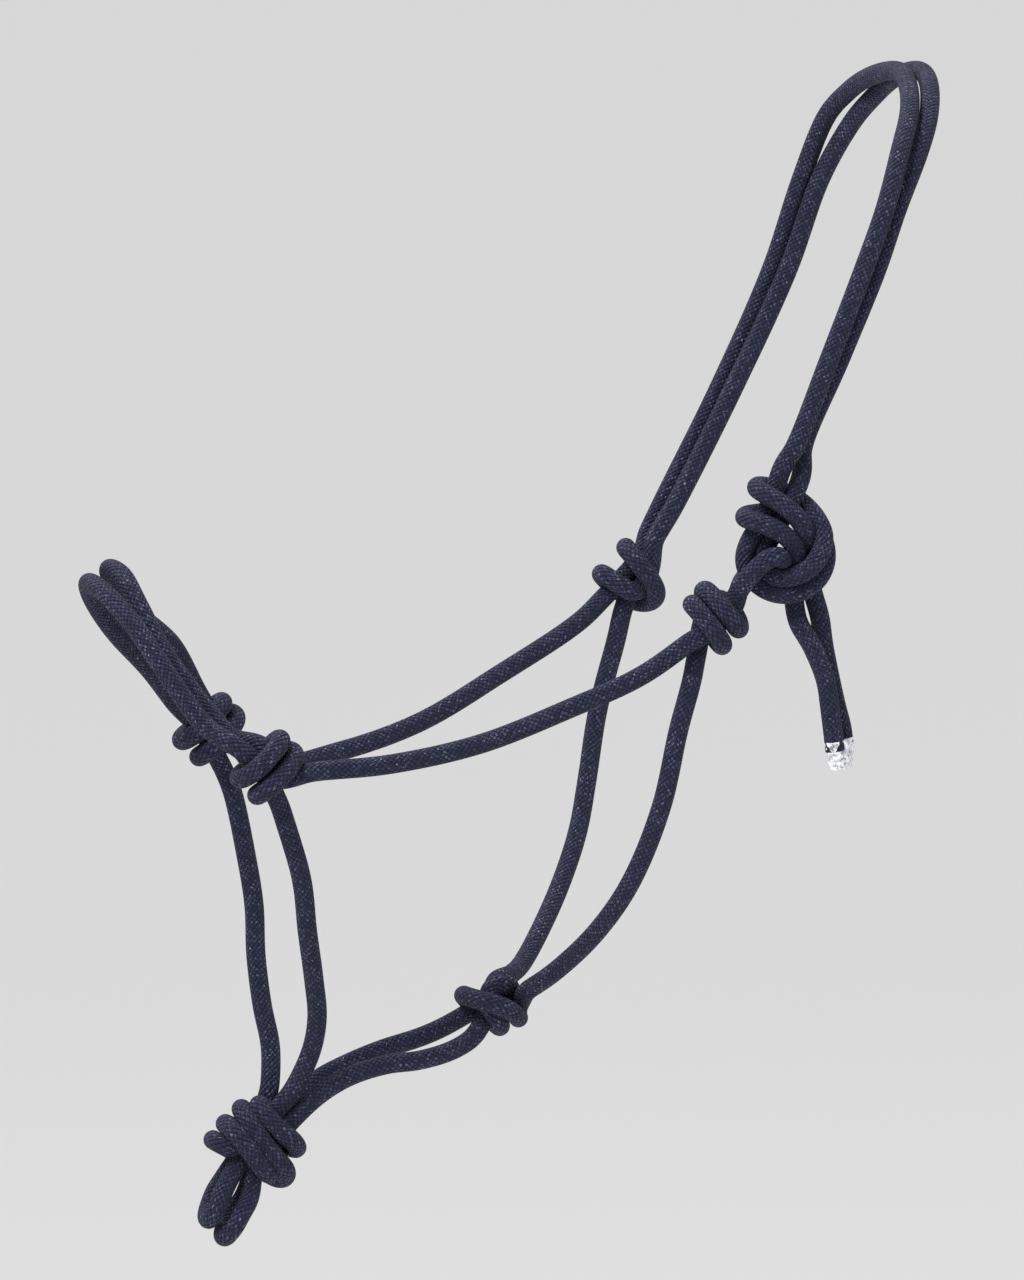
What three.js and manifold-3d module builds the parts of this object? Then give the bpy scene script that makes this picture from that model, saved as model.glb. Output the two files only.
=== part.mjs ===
// Rope halter, worn shape, millimetres.
// +X runs from the nose back to the poll, +Y to the horse's right, +Z up.
// The origin is the underside of the crown where it lies over the poll.
import * as THREE from 'three';
import { mergeVertices } from 'three/addons/utils/BufferGeometryUtils.js';
import Module from 'manifold-3d';

const wasm = await Module();
wasm.setup();

// Rope
const ROPE_D = 8.5;
const ROPE_R = ROPE_D / 2;
const STRAND_SIDES = 10;
const KNOT_SIDES = 8;
const STRAND_STEP = 15;
const BIGHT_STEP = 7;
const KNOT_STEP = 7;
const KNOT_TOLERANCE = 0.12;
const WELD = 1e-3;

// Gaps between one piece of rope and the next
const BUTT_GAP = 2.7;
const CROWN_GAP = 2.8;
const HINGE_GAP = 3.5;
const JAW_GAP = 9;
const EYE_RELIEF = 0.35;

// Whipped end
const TIP_LENGTH = 10;
const TIP_WALL = 0.8;
const TIP_CLEARANCE = 0.4;
const TIP_OVERHANG = 6;
const TIP_ARC_STEPS = 6;

const ROPE_COLOUR = 0x23273f;
const TIP_COLOUR = 0xc9ccd2;

// Knot centres and the way each knot's axis runs
const NOSE_KNOT_LEFT = { centre: [-299.6, -60, -286.2], axis: [0.68, 0, -0.73] };
const NOSE_KNOT_RIGHT = { centre: [-302.5, 60, -283], axis: [0.68, 0, -0.73] };
const CHEEK_KNOT_LEFT = { centre: [-107, -90, -224.3], axis: [0.81, 0, 0.59] };
const CHEEK_KNOT_RIGHT = { centre: [-104.2, 90, -224.3], axis: [0.68, 0, 0.74] };
const THROAT_KNOT = { centre: [-186, 0, -400], axis: [0.71, 0, 0.71] };
const CHIN_KNOT = { centre: [-292.2, 0, -460.5], axis: [0.68, 0, 0.73] };
const TIE_KNOT_CENTRE = [-79, -97, -192];

// Runs inside each knot, from its own centre: along its axis, across it, and out to the horse's left
const NOSE_IN_LEFT = [[-14, -1, -6], [-10.5, 4, -3]];
const NOSE_IN_RIGHT = [[-15, 8, 3], [-11.5, 7.6, 2]];
const NOSE_TURNS = [
  [-8, 6.5, 0.5], [-2, 6, 1], [4, 5, -1], [9, 2, -5.5], [9.5, -5, -8], [8, -10, -3], [7, -9.5, 4],
  [7, -2, 9.5], [7, 6, 8], [6.5, 11, 1], [4, 9, -7], [0, 0, -10.5], [-3, -9, -7.5], [-3, -13, 0],
  [-3, -9, 7.5], [-3, 0, 11], [-3, 9, 8], [-3.5, 13.8, 0.5], [-2, 9, -7], [1.5, 2, -5.5],
  [6, -1, -3], [10, 2.5, -1],
];
const NOSE_OUT_LEFT = [[13.5, 8.5, 1]];
const NOSE_OUT_RIGHT = [[14.5, 4.8, -1.5]];
const NOSE_CORE = [
  [-14, -3, 5], [-8, -2.5, 5], [-3, -2, 3.5], [4, -2, 2], [9, -3, 1.5], [13.5, -5, 0.5],
];
const CHEEK_LEFT_TURNS = [
  [-14, -7.1, -4], [-9, -3, -4.5], [-3, 2.5, -3.5], [3, 5, -3], [8.5, 3.5, -5.5], [9.5, -3, -8],
  [7.5, -8.5, -4], [5, -10, 3], [4.7, -5, 8.5], [4.7, 2, 9.8], [4.8, 8, 6.5], [4.3, 11, 0],
  [2, 8.5, -7], [-1, 0, -9.5], [-4, -8, -8], [-4.3, -12, -1], [-4, -9, 6], [-4.3, -1, 10],
  [-4.4, 7, 8.5], [-4.5, 12.7, 2.5], [-3, 11, -4.5], [0, 5, -5.5], [4, -1, -4.5], [8, -1, -4],
  [12, 1, -5],
];
const CHEEK_LEFT_CORE = [
  [-14.5, -0.3, 2.5], [-8, 0, 3], [-2, 0, 2.5], [5, 0.5, 2.5], [11.5, 2.5, 4.2],
];
const CHEEK_RIGHT_TURNS = [
  [-14.5, -6.2, -1.5], [-10, -4.5, -2.5], [-5, -3, -3], [2, -3.5, -4.5], [8, -2, -6], [9, 4, -8],
  [8, 10, -4], [6.8, 13, 2], [5.5, 9.5, 8], [4.5, 3.9, 10.5], [3.5, -3.5, 10], [0.5, -10, 6.5],
  [-4, -13, 1], [-7, -9, -5.5], [-8.5, -1, -8.5], [-9, 8, -7], [-9, 13.8, -0.5], [-8.5, 12, 6.5],
  [-7.8, 5, 9.5], [-6.5, -2, 7.5], [-3.5, -6, 3], [2, -6, 1.5], [7.5, -1.5, 1.5], [13.5, 3.5, 1.5],
];
const CHEEK_RIGHT_CORE = [
  [-14.5, 4.5, 0.5], [-8, 3.5, -1.5], [-1, 2, -2.5], [6, 3, -4.5], [13.5, 5.5, -7.5],
];
const THROAT_TURNS = [
  [-13, 4.5, -7], [-8, 4.5, -5], [-2, 4, -4], [3, 3, -5], [7, -1, -5], [8.5, -1, 1], [8.8, 5, 4.5],
  [4.5, 8.5, 6.5], [-1.5, 7, 7.5], [-4.8, 2, 7], [-5, -5, 5.5], [-6.2, -10.5, 1], [-5.5, -9, -6],
  [-5.5, 0, -9.5], [-6.5, 8, -7], [-7, 12.5, 0], [-5.6, 10.5, 7], [-2.5, 6, 13], [0.5, 0, 14.5],
  [2.5, -7, 11], [3.7, -12.4, 3], [4, -10.5, -4], [6, -6, -4], [9, -4.5, 1], [12.5, -4.3, 9],
];
const THROAT_CORE = [[-15, -2.5, 7], [-9, -2, 4], [-2, 0, 1], [5, 1.5, -3], [11, 1.5, -9]];
const CHIN_TURNS_FRONT = [
  [-17, 0.5, 5.5], [-12, 2, 5], [-5, 3, 4.5], [2, 5, 2], [7, 8, -3], [9, 13, -6], [8.5, 17.5, 0],
  [6.5, 14, 7.5], [4, 5, 12], [2, -4, 12.5], [0, -12, 9], [-2, -17, 2], [-3, -14, -6],
  [-5, -5, -12], [-8, 6, -12], [-9.8, 14.5, -6], [-10, 17.5, 1], [-9, 12.5, 8], [-6, 6, 9],
  [0, 8.5, 5], [7, 9.5, 4], [15, 8, 6.5], [22, 6, 9],
];
const CHIN_TURNS_REAR = [
  [-17, -12.5, -5.5], [-12, -9, -5], [-5, -6.5, -4.5], [3, -6, -4.5], [11, -3, -6.5],
  [14.5, 4, -5], [14, 10, 1.5], [13, 7.5, 8.5], [13, 0, 12], [13, -8, 10.5], [12, -14.5, 4],
  [10.5, -13.5, -4], [7, -7, -11], [3, 3, -13], [-0.5, 12.5, -8.5], [-1.2, 18, -0.5],
  [-1.5, 15, 8], [-2.5, 8, 13], [-3.8, -1, 13.5], [-4.5, -9, 9.5], [-4, -13, 3], [0, -11.5, -3],
  [5, -7, -8], [11, 1, -10], [16, 6, -10], [20, 8, -9.5],
];
const CHIN_CORE_FRONT = [
  [-17, 0, -5], [-12, 1.5, -4.5], [-4, 2, -4.5], [4, 1, -5], [13, -0.5, -7], [20.5, -1, -8],
];
const CHIN_CORE_REAR = [
  [-17, -12.5, 5], [-12, -9, 5], [-4, -5.5, 4.5], [4, -4, 5], [12, -3, 6.5], [19, -2.5, 7.5],
];
const LEAD_LOOP_FRONT = [
  [-25, -1.5, 7.5], [-31, -3.8, 8], [-35.5, -5.3, 5], [-37, -6, 0], [-35.5, -5.3, -5],
  [-31, -3.8, -8], [-25, -1.5, -7.5],
];
const LEAD_LOOP_REAR = [
  [-25, -13.5, 7.5], [-31.5, -15, 8], [-36.5, -16, 5], [-38, -16.5, 0], [-36.5, -16, -5],
  [-31.5, -15, -8], [-25, -13.5, -7.5],
];

// Routes of the strands between the knots
const CHEEK_ROUTE_LEFT = [
  [-275.6, -64, -288.9], [-245.9, -69.5, -286], [-207.7, -76, -277.4], [-169.5, -83, -262],
  [-139.5, -88, -248.2],
];
const CHEEK_ROUTE_RIGHT = [
  [-279, 61, -301], [-241.6, 65, -295.5], [-204.6, 71, -284.2], [-167.2, 79, -264.7],
  [-129.8, 86, -242.8],
];
const THROAT_ROUTE_LEFT = [
  [-116.8, -88, -250.1], [-122.7, -88, -271.8], [-129, -83, -305], [-139, -68, -339.1],
  [-150.2, -50, -362.8], [-164, -27, -383],
];
const THROAT_ROUTE_RIGHT = [
  [-112.1, 91.5, -251], [-120.8, 90.5, -283], [-126.6, 86, -313.3], [-132.3, 78, -334.5],
  [-142.4, 64, -354.7], [-156.7, 43, -374.2], [-169.3, 24, -386.9],
];
const DROP_ROUTE_LEFT = [
  [-289.9, -58, -311], [-281, -50, -337.7], [-277, -42, -361], [-272.2, -32, -383.7],
  [-269.3, -24, -402.3], [-271.5, -16, -420],
];
const DROP_ROUTE_RIGHT = [
  [-290.8, 60, -311], [-285.7, 54, -339], [-283.7, 46, -360.1], [-284.6, 37, -381],
  [-283.6, 28, -401.9], [-281.6, 19, -420],
];
const JAW_ROUTE_LEFT = [
  [-266, -10.5, -437], [-253, -12.5, -429], [-237, -14, -424], [-221.7, -14, -422.4],
  [-206, -11, -418.5],
];
const JAW_ROUTE_RIGHT = [
  [-263, 10, -433.3], [-251, 12, -427.5], [-234.1, 13, -421.1], [-216.3, 13, -415.9],
  [-206, 11, -411.3],
];
const NOSE_ROUTE_LOWER = [
  [-324, -56, -269.5], [-342.1, -46, -243], [-352.6, -35, -225.9], [-361.5, -19, -214.5],
  [-365.2, 0, -212], [-360.5, 15, -221], [-348.5, 29, -236.8], [-330.4, 43, -255.3],
];
const NOSE_ROUTE_UPPER = [
  [-322.4, -45.5, -262.5], [-339.1, -36, -238.6], [-348, -25, -219.1], [-352.5, -13, -208],
  [-356, 0, -206], [-352, 13, -213.5], [-339.5, 26, -228], [-320.5, 42.5, -244.5],
];
const CROWN_ROUTE_FRONT = [
  [-74.8, -100, -150.3], [-59.5, -101.5, -111.5], [-44.3, -101, -73], [-34, -97, -47.5],
  [-24, -83, -23], [-15.8, -63.5, -9], [-9.7, -35, 0.5], [-6.2, 0, 4.5], [-9.2, 40, -0.5],
  [-13.6, 66.5, -9.3], [-20, 82, -21.5], [-28.5, 94.5, -50], [-40.4, 102, -90.6],
  [-64.3, 102, -143.4], [-90.7, 98.5, -193.5],
];
const CROWN_ROUTE_REAR = [
  [-69.2, -92, -151.2], [-53, -94, -112], [-37, -94, -73.8], [-27.1, -89.5, -48.5],
  [-14.2, -75, -25], [-6.2, -58.5, -11.5], [-0.3, -35, 0], [3.2, 0, 4.5], [0.3, 36, -1.2],
  [-4.5, 58, -11.5], [-10.8, 72.5, -23.8], [-21.5, 88, -50], [-34.5, 94.5, -90.1],
  [-59.5, 93.8, -142.8], [-86, 90.5, -192.5],
];
const TAIL_ROUTE_LEFT = [
  [-66.3, -100.5, -236], [-61, -102.5, -250], [-59, -102, -262], [-57.6, -101.5, -272],
  [-56.5, -101.5, -281],
];
const TAIL_ROUTE_RIGHT = [
  [-59.5, -91.5, -236], [-57, -93, -250], [-54.3, -93, -262], [-51.7, -93, -272],
  [-50.6, -93, -281],
];

// Tie knot, from its own centre: x and z as in the part, y out to the horse's left
const HITCH_FRONT = [
  [-1, 2, 34], [-3, 0, 24], [-6, -1, 14], [-12, -2, 4], [-17, -2, -4], [-15, -3, -13],
  [-8, 0, -19], [2, 2, -21.5], [13, 2, -17.5], [19.5, 0, -8], [19, -4, 3], [13, -9, 11],
  [3, -12, 14], [-10, -9, 13], [-18, 0, 12.5], [-15, 7, 12], [-7, 10, 9.5], [2, 8, 3],
  [6, 2, -5], [6, -4, -14], [7, -7, -23], [7, -6, -31],
];
const HITCH_REAR = [
  [9.5, -1, 31], [5, 0, 22], [0, -1, 13], [-6, -1, 4], [-9, -2, -4], [-7, 0, -11],
  [1, 5, -13.5], [10, 9, -10], [16, 9, -1], [16.5, 4, 8], [12, -3, 16], [5, -8, 21.5],
  [-5, -8, 25], [-13, -1, 26], [-9, 7, 23], [0, 10, 18], [7, 9, 10], [10, 4, 3],
  [11, -2, -6], [13, -6, -17], [17, -5, -28],
];
const EYE_BIGHT = [
  [-19, -1, -18.5], [-15.5, 4, -13], [-9, 9, -4.5], [-2, 9, -1.5], [2.5, 4, -6], [0, -4, -9],
  [-6, -8, -9], [-13.5, -9, -12], [-17, -11.2, -18.5],
];

// A run inside a knot, placed in the halter.
function knotLine(knot, points) {
  const axis = new THREE.Vector3(...knot.axis).normalize();
  const across = new THREE.Vector3(-axis.z, 0, axis.x);
  const out = new THREE.Vector3(0, -1, 0);
  return points.map(([alongBy, acrossBy, outBy]) => new THREE.Vector3(...knot.centre)
    .addScaledVector(axis, alongBy)
    .addScaledVector(across, acrossBy)
    .addScaledVector(out, outBy));
}

function tieLine(points) {
  const [x, y, z] = TIE_KNOT_CENTRE;
  return points.map(([px, left, pz]) => new THREE.Vector3(x + px, y - left, z + pz));
}

// The point a gap away from an end, towards another point.
function standOff(end, towards, gap) {
  return end.clone().addScaledVector(towards.clone().sub(end).normalize(), gap);
}

// A strand along its route, standing off the rope end before it and the one after it.
function strand(from, fromGap, route, to, toGap) {
  const points = route.map((point) => new THREE.Vector3(...point));
  return [standOff(from, points[0], fromGap), ...points, standOff(to, points.at(-1), toGap)];
}

// A bight from one end of a knot's run round to another.
function bight(from, points, to, gap) {
  return [standOff(from, points[0], gap), ...points, standOff(to, points.at(-1), gap)];
}

// A tail strand hangs from the tie knot and ends inside the whipping.
function tailStrand(from, route) {
  const points = route.map((point) => new THREE.Vector3(...point));
  return [standOff(from, points[0], HINGE_GAP), ...points];
}

// Rope of round section along a smooth curve through the points.
function rope(points, step, sides, radius = ROPE_R) {
  const curve = new THREE.CatmullRomCurve3(points, false, 'centripetal');
  const steps = Math.max(2, Math.round(curve.getLength() / step));
  const section = new THREE.Shape();
  for (let i = 0; i < sides; i += 1) {
    const angle = (2 * Math.PI * i) / sides;
    const x = radius * Math.cos(angle);
    const y = radius * Math.sin(angle);
    if (i === 0) section.moveTo(x, y);
    else section.lineTo(x, y);
  }
  section.closePath();
  return closed(new THREE.ExtrudeGeometry(section, { steps, bevelEnabled: false, extrudePath: curve }));
}

// Position-only geometry with shared corners.
function closed(geometry) {
  const bare = new THREE.BufferGeometry();
  bare.setAttribute('position', geometry.getAttribute('position'));
  return mergeVertices(bare, WELD);
}

function toSolid(geometry) {
  const mesh = new wasm.Mesh({
    numProp: 3,
    vertProperties: new Float32Array(geometry.getAttribute('position').array),
    triVerts: new Uint32Array(geometry.getIndex().array),
  });
  return new wasm.Manifold(mesh);
}

// The largest closed shell, without the hollows shut inside it.
function outerShell(solid) {
  const shells = solid.decompose().filter((shell) => shell.volume() > 0);
  return shells.reduce((best, shell) => (shell.volume() > best.volume() ? shell : best));
}

function fuse(geometries) {
  return wasm.Manifold.union(geometries.map(toSolid));
}

function toGeometry(solid) {
  const mesh = outerShell(solid.simplify(KNOT_TOLERANCE)).getMesh();
  const geometry = new THREE.BufferGeometry();
  geometry.setAttribute('position', new THREE.BufferAttribute(new Float32Array(mesh.vertProperties), 3));
  geometry.setIndex(new THREE.BufferAttribute(new Uint32Array(mesh.triVerts), 1));
  return geometry;
}

const halter = new THREE.Group();
halter.name = 'rope_halter';

function addNode(name, geometry, material) {
  const mesh = new THREE.Mesh(geometry, material);
  mesh.name = name;
  halter.add(mesh);
}

function ropeMaterial() {
  return new THREE.MeshStandardMaterial({ color: ROPE_COLOUR, roughness: 0.95, metalness: 0 });
}

function addRope(name, points, step = STRAND_STEP) {
  addNode(name, rope(points, step, STRAND_SIDES), ropeMaterial());
}

function knotRuns(runs) {
  return fuse(runs.map((points) => rope(points, KNOT_STEP, KNOT_SIDES)));
}

function addKnot(name, runs) {
  addNode(name, toGeometry(knotRuns(runs)), ropeMaterial());
}

// Outline of two ropes side by side, grown by a margin.
function twoRopeOutline(path, halfPitch, radius) {
  const corner = (centre, angle) => {
    path.lineTo(centre + radius * Math.cos(angle), radius * Math.sin(angle));
  };
  path.moveTo(halfPitch, -radius);
  for (let i = 1; i <= TIP_ARC_STEPS; i += 1) {
    corner(halfPitch, -Math.PI / 2 + (Math.PI * i) / TIP_ARC_STEPS);
  }
  for (let i = 0; i <= TIP_ARC_STEPS; i += 1) {
    corner(-halfPitch, Math.PI / 2 + (Math.PI * i) / TIP_ARC_STEPS);
  }
  path.closePath();
  return path;
}

// Sleeve whipped round the two tail ends.
function tipSleeve(endLeft, endRight, way) {
  const halfPitch = endLeft.distanceTo(endRight) / 2;
  const innerRadius = ROPE_R + TIP_CLEARANCE;
  const section = twoRopeOutline(new THREE.Shape(), halfPitch, innerRadius + TIP_WALL);
  section.holes.push(twoRopeOutline(new THREE.Path(), halfPitch, innerRadius));
  const sleeve = new THREE.ExtrudeGeometry(section, { depth: TIP_LENGTH, bevelEnabled: false });
  const wide = endRight.clone().sub(endLeft).normalize();
  const thick = way.clone().cross(wide);
  const top = endLeft.clone().add(endRight).multiplyScalar(0.5);
  top.addScaledVector(way, TIP_OVERHANG - TIP_LENGTH);
  const placed = new THREE.Matrix4().makeBasis(wide, thick, way).setPosition(top);
  return closed(sleeve.applyMatrix4(placed));
}

const cheekLeft = {
  turns: knotLine(CHEEK_KNOT_LEFT, CHEEK_LEFT_TURNS),
  core: knotLine(CHEEK_KNOT_LEFT, CHEEK_LEFT_CORE),
};
const cheekRight = {
  turns: knotLine(CHEEK_KNOT_RIGHT, CHEEK_RIGHT_TURNS),
  core: knotLine(CHEEK_KNOT_RIGHT, CHEEK_RIGHT_CORE),
};
const noseLeft = {
  turns: knotLine(NOSE_KNOT_LEFT, [...NOSE_IN_LEFT, ...NOSE_TURNS, ...NOSE_OUT_LEFT]),
  core: knotLine(NOSE_KNOT_LEFT, NOSE_CORE),
};
const noseRight = {
  turns: knotLine(NOSE_KNOT_RIGHT, [...NOSE_IN_RIGHT, ...NOSE_TURNS, ...NOSE_OUT_RIGHT]),
  core: knotLine(NOSE_KNOT_RIGHT, NOSE_CORE),
};
const throat = {
  turns: knotLine(THROAT_KNOT, THROAT_TURNS),
  core: knotLine(THROAT_KNOT, THROAT_CORE),
};
const chin = {
  turnsFront: knotLine(CHIN_KNOT, CHIN_TURNS_FRONT),
  turnsRear: knotLine(CHIN_KNOT, CHIN_TURNS_REAR),
  coreFront: knotLine(CHIN_KNOT, CHIN_CORE_FRONT),
  coreRear: knotLine(CHIN_KNOT, CHIN_CORE_REAR),
};
const hitchFront = tieLine(HITCH_FRONT);
const hitchRear = tieLine(HITCH_REAR);
const eye = tieLine(EYE_BIGHT);

// Crown and tie
addRope(
  'crown_strand_front',
  strand(hitchFront[0], CROWN_GAP, CROWN_ROUTE_FRONT, cheekRight.core.at(-1), HINGE_GAP),
);
addRope(
  'crown_strand_rear',
  strand(hitchRear[0], CROWN_GAP, CROWN_ROUTE_REAR, cheekRight.turns.at(-1), HINGE_GAP),
);
const eyeTunnel = toSolid(rope(eye, KNOT_STEP, KNOT_SIDES, ROPE_R + EYE_RELIEF));
const hitch = knotRuns([hitchFront, hitchRear]).subtract(eyeTunnel);
addNode('tie_knot', toGeometry(hitch), ropeMaterial());
addNode('eye_loop', rope(eye, KNOT_STEP, KNOT_SIDES), ropeMaterial());

// Tail
const tailLeft = tailStrand(hitchFront.at(-1), TAIL_ROUTE_LEFT);
const tailRight = tailStrand(hitchRear.at(-1), TAIL_ROUTE_RIGHT);
addRope('tail_strand_left', tailLeft, BIGHT_STEP);
addRope('tail_strand_right', tailRight, BIGHT_STEP);
const tailWay = tailLeft.at(-1).clone().sub(tailLeft.at(-2)).normalize();
addNode(
  'tail_tip',
  tipSleeve(tailLeft.at(-1), tailRight.at(-1), tailWay),
  new THREE.MeshStandardMaterial({ color: TIP_COLOUR, roughness: 0.25, metalness: 0 }),
);

// Cheeks
addKnot('cheek_knot_left', [cheekLeft.turns, cheekLeft.core]);
addKnot('cheek_knot_right', [cheekRight.turns, cheekRight.core]);
addKnot('nose_knot_left', [noseLeft.turns, noseLeft.core]);
addKnot('nose_knot_right', [noseRight.turns, noseRight.core]);
addRope(
  'cheek_strand_left',
  strand(noseLeft.turns.at(-1), BUTT_GAP, CHEEK_ROUTE_LEFT, cheekLeft.core[0], BUTT_GAP),
);
addRope(
  'cheek_strand_right',
  strand(noseRight.turns.at(-1), BUTT_GAP, CHEEK_ROUTE_RIGHT, cheekRight.core[0], BUTT_GAP),
);

// Noseband
addRope(
  'nose_strand_lower',
  strand(noseLeft.core[0], HINGE_GAP, NOSE_ROUTE_LOWER, noseRight.core[0], HINGE_GAP),
);
addRope(
  'nose_strand_upper',
  strand(noseLeft.turns[0], HINGE_GAP, NOSE_ROUTE_UPPER, noseRight.turns[0], HINGE_GAP),
);

// Drops, chin knot and lead loops
addRope(
  'drop_strand_left',
  strand(noseLeft.core.at(-1), HINGE_GAP, DROP_ROUTE_LEFT, chin.turnsFront.at(-1), BUTT_GAP),
);
addRope(
  'drop_strand_right',
  strand(noseRight.core.at(-1), HINGE_GAP, DROP_ROUTE_RIGHT, chin.turnsRear.at(-1), BUTT_GAP),
);
addKnot('chin_knot', [chin.turnsFront, chin.turnsRear, chin.coreFront, chin.coreRear]);
addRope(
  'lead_loop_front',
  bight(chin.turnsFront[0], knotLine(CHIN_KNOT, LEAD_LOOP_FRONT), chin.coreFront[0], HINGE_GAP),
  BIGHT_STEP,
);
addRope(
  'lead_loop_rear',
  bight(chin.coreRear[0], knotLine(CHIN_KNOT, LEAD_LOOP_REAR), chin.turnsRear[0], HINGE_GAP),
  BIGHT_STEP,
);

// Jaw and throat
addRope(
  'jaw_strand_left',
  strand(chin.coreRear.at(-1), JAW_GAP, JAW_ROUTE_LEFT, throat.core[0], HINGE_GAP),
);
addRope(
  'jaw_strand_right',
  strand(chin.coreFront.at(-1), JAW_GAP, JAW_ROUTE_RIGHT, throat.turns[0], HINGE_GAP),
);
addKnot('throat_knot', [throat.turns, throat.core]);
addRope(
  'throat_strand_left',
  strand(cheekLeft.turns[0], HINGE_GAP, THROAT_ROUTE_LEFT, throat.turns.at(-1), BUTT_GAP),
);
addRope(
  'throat_strand_right',
  strand(cheekRight.turns[0], HINGE_GAP, THROAT_ROUTE_RIGHT, throat.core.at(-1), BUTT_GAP),
);

export default halter;
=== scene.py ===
"""Rope halter as worn: one continuous 8.5 mm rope, tied into its knots and swept as a plaited tube.

Metres, +X from the nose back to the poll, +Y to the horse's right, +Z up.
The origin is the underside of the crown where it lies over the poll.
"""

import math

import bpy
import numpy as np
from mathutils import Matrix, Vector, kdtree


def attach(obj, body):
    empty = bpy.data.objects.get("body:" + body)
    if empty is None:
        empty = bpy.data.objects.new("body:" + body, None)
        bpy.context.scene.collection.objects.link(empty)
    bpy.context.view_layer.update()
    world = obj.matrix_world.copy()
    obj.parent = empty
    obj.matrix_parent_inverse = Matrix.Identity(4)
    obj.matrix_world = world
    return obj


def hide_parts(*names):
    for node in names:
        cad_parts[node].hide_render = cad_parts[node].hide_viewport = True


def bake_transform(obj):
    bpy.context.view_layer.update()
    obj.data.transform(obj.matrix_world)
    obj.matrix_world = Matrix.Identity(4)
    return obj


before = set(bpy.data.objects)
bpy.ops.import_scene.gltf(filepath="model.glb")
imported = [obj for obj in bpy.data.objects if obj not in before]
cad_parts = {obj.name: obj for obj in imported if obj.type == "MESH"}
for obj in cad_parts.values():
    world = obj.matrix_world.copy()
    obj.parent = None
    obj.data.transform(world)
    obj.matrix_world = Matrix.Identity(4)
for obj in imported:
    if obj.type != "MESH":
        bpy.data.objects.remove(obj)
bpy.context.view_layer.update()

# Rope
ROPE_D = 0.0085
ROPE_R = ROPE_D / 2

# Knot centres and the way each knot's axis runs
NOSE_KNOT_LEFT = {"centre": (-0.2996, -0.06, -0.2862), "axis": (0.68, 0, -0.73)}
NOSE_KNOT_RIGHT = {"centre": (-0.3025, 0.06, -0.283), "axis": (0.68, 0, -0.73)}
CHEEK_KNOT_LEFT = {"centre": (-0.107, -0.09, -0.2243), "axis": (0.81, 0, 0.59)}
CHEEK_KNOT_RIGHT = {"centre": (-0.1042, 0.09, -0.2243), "axis": (0.68, 0, 0.74)}
THROAT_KNOT = {"centre": (-0.186, 0, -0.4), "axis": (0.71, 0, 0.71)}
CHIN_KNOT = {"centre": (-0.2922, 0, -0.4605), "axis": (0.68, 0, 0.73)}
TIE_KNOT_CENTRE = (-0.079, -0.097, -0.192)

# Runs inside each knot, from its own centre: along its axis, across it, and out to the horse's left
NOSE_IN_LEFT = [(-0.014, -0.001, -0.006), (-0.0105, 0.004, -0.003)]
NOSE_IN_RIGHT = [(-0.015, 0.008, 0.003), (-0.0115, 0.0076, 0.002)]
NOSE_TURNS = [
    (-0.008, 0.0065, 0.0005), (-0.002, 0.006, 0.001), (0.004, 0.005, -0.001), (0.009, 0.002, -0.0055),
    (0.0095, -0.005, -0.008), (0.008, -0.01, -0.003), (0.007, -0.0095, 0.004), (0.007, -0.002, 0.0095),
    (0.007, 0.006, 0.008), (0.0065, 0.011, 0.001), (0.004, 0.009, -0.007), (0, 0, -0.0105),
    (-0.003, -0.009, -0.0075), (-0.003, -0.013, 0), (-0.003, -0.009, 0.0075), (-0.003, 0, 0.011),
    (-0.003, 0.009, 0.008), (-0.0035, 0.0138, 0.0005), (-0.002, 0.009, -0.007),
    (0.0015, 0.002, -0.0055), (0.006, -0.001, -0.003), (0.01, 0.0025, -0.001),
]
NOSE_OUT_LEFT = [(0.0135, 0.0085, 0.001)]
NOSE_OUT_RIGHT = [(0.0145, 0.0048, -0.0015)]
NOSE_CORE = [
    (-0.014, -0.003, 0.005), (-0.008, -0.0025, 0.005), (-0.003, -0.002, 0.0035),
    (0.004, -0.002, 0.002), (0.009, -0.003, 0.0015), (0.0135, -0.005, 0.0005),
]
CHEEK_LEFT_TURNS = [
    (-0.014, -0.0071, -0.004), (-0.009, -0.003, -0.0045), (-0.003, 0.0025, -0.0035),
    (0.003, 0.005, -0.003), (0.0085, 0.0035, -0.0055), (0.0095, -0.003, -0.008),
    (0.0075, -0.0085, -0.004), (0.005, -0.01, 0.003), (0.0047, -0.005, 0.0085),
    (0.0047, 0.002, 0.0098), (0.0048, 0.008, 0.0065), (0.0043, 0.011, 0), (0.002, 0.0085, -0.007),
    (-0.001, 0, -0.0095), (-0.004, -0.008, -0.008), (-0.0043, -0.012, -0.001), (-0.004, -0.009, 0.006),
    (-0.0043, -0.001, 0.01), (-0.0044, 0.007, 0.0085), (-0.0045, 0.0127, 0.0025),
    (-0.003, 0.011, -0.0045), (0, 0.005, -0.0055), (0.004, -0.001, -0.0045), (0.008, -0.001, -0.004),
    (0.012, 0.001, -0.005),
]
CHEEK_LEFT_CORE = [
    (-0.0145, -0.0003, 0.0025), (-0.008, 0, 0.003), (-0.002, 0, 0.0025), (0.005, 0.0005, 0.0025),
    (0.0115, 0.0025, 0.0042),
]
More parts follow.
